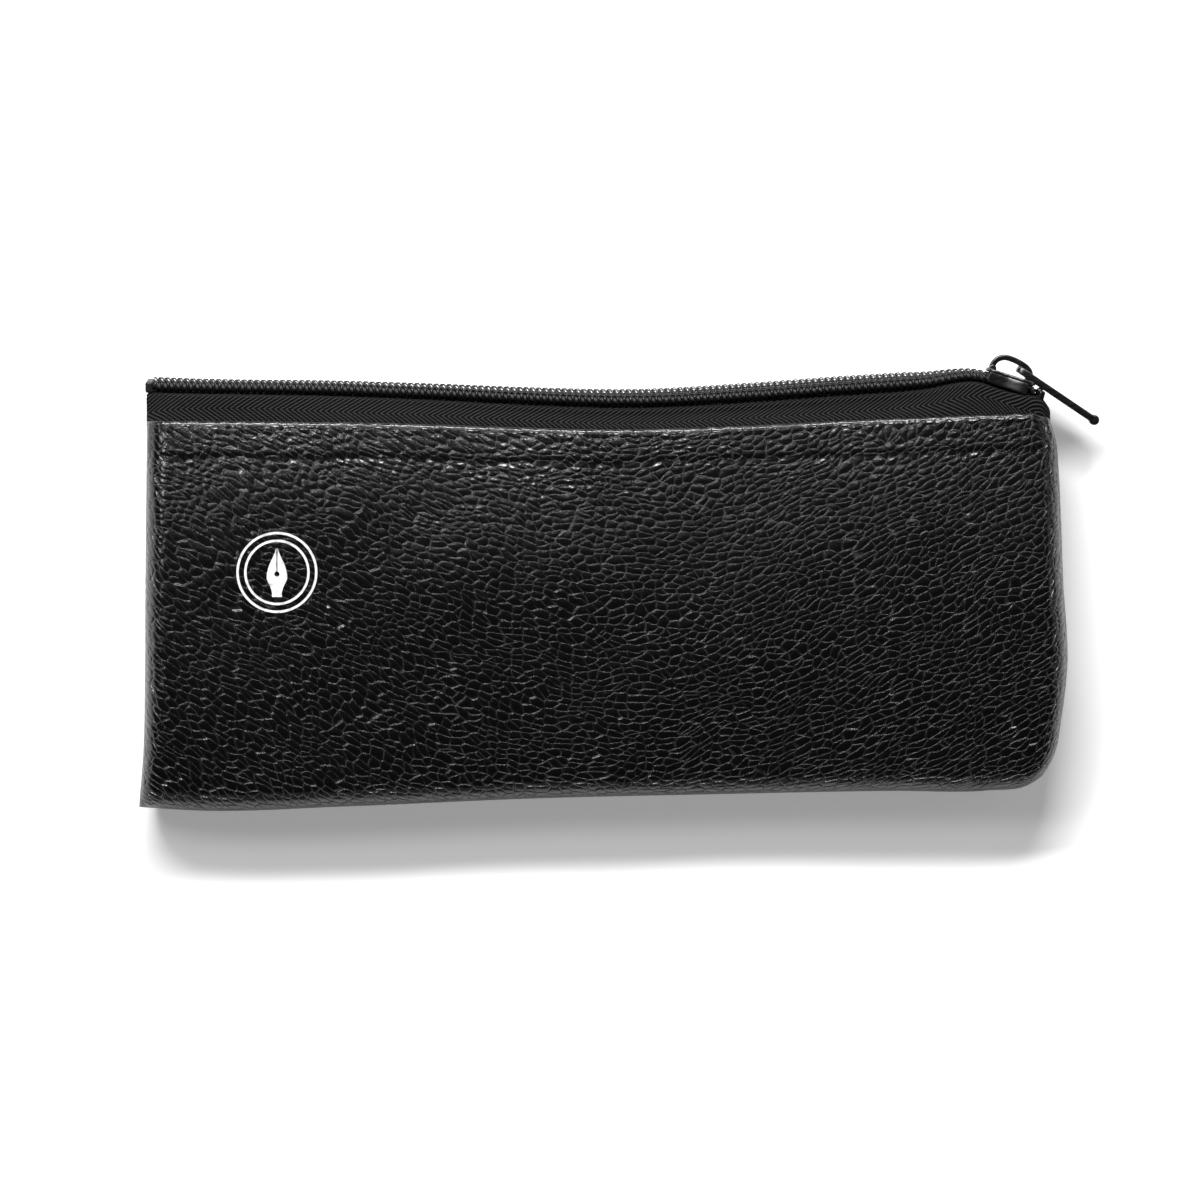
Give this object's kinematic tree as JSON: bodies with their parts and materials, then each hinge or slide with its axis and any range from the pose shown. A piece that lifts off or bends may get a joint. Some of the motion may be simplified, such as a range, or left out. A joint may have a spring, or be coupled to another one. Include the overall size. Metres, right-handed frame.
{
  "type": "zip-top pen case",
  "caption": "Flat zip-top pen case in pebbled leather: two lined panels sewn and turned, closed along the long edge by a coil zip with a slider and pull tab.",
  "frame": {"origin": "on the flat part of the back panel, in the middle of the case's length and of its leather's height, on the surface that the case lies on", "axes": "+X along the zip towards its closed end, +Y from the bottom seam to the zip, +Z from the back panel to the front panel"},
  "size_m": [0.225, 0.1057, 0.02],
  "materials": {
    "leather": "pebbled, semi-gloss",
    "lining": "plain woven, matt",
    "zip_tape": "herringbone weave, matt",
    "coil": "nylon monofilament, satin",
    "core_cord": "twisted filler cord, matt",
    "coil_thread": "sewing thread, satin",
    "stop_plastic": "moulded, satin",
    "stop_metal": "black enamel",
    "slider_metal": "black enamel, satin",
    "pull_metal": "black enamel, satin",
    "thread": "sewing thread, satin",
    "ink": "screen printed, matt"
  },
  "bodies": {
    "pouch": {"front_panel": "leather", "back_panel": "leather", "lining_front": "lining", "lining_back": "lining", "zip_bottom_stop": "stop_plastic", "side_seam_thread_left": "thread", "side_seam_thread_right": "thread", "bottom_seam_thread": "thread", "zip_seam_thread_front": "thread", "zip_seam_thread_back": "thread", "printed_emblem": "ink"},
    "slider": {"slider_body": "slider_metal"},
    "pull": {"pull_tab": "pull_metal"},
    "front_zip_half": {"zip_tape_front": "zip_tape", "zip_coil_front": "coil", "coil_core_front": "core_cord", "coil_stitching_front": "coil_thread", "zip_top_stop_front": "stop_metal"},
    "back_zip_half": {"zip_tape_back": "zip_tape", "zip_coil_back": "coil", "coil_core_back": "core_cord", "coil_stitching_back": "coil_thread", "zip_top_stop_back": "stop_metal"}
  },
  "joints": [
    {"name": "slider_travel", "type": "slide", "parent": "pouch", "child": "slider", "axis": [-1, -0.0031, 0], "range_m": [0, 0.1929], "deforming": ["zip_tape_front", "zip_coil_front", "coil_core_front", "coil_stitching_front", "zip_tape_back", "zip_coil_back", "coil_core_back", "coil_stitching_back"]},
    {"name": "pull_swing", "type": "hinge", "parent": "slider", "child": "pull", "pos_m": [0.09738, 0.05664, 0.00945], "axis": [-0.0537, -0.1651, 0.9848], "range_deg": [0, 185]},
    {"name": "front_half_fold", "type": "hinge", "parent": "pouch", "child": "front_zip_half", "pos_m": [0, 0.0445, 0.0129], "axis": [1, 0, 0], "range_deg": [0, 70], "deforming": ["zip_tape_front", "zip_coil_front", "coil_core_front", "coil_stitching_front"]},
    {"name": "back_half_fold", "type": "hinge", "parent": "pouch", "child": "back_zip_half", "pos_m": [0, 0.0445, 0.0051], "axis": [-1, 0, 0], "range_deg": [0, 70], "deforming": ["zip_tape_back", "zip_coil_back", "coil_core_back", "coil_stitching_back"]}
  ],
  "couplings": [
    {"joint": "front_half_fold", "follows": "slider_travel", "rad_per_m": 6.1525},
    {"joint": "back_half_fold", "follows": "slider_travel", "rad_per_m": 6.1525}
  ]
}
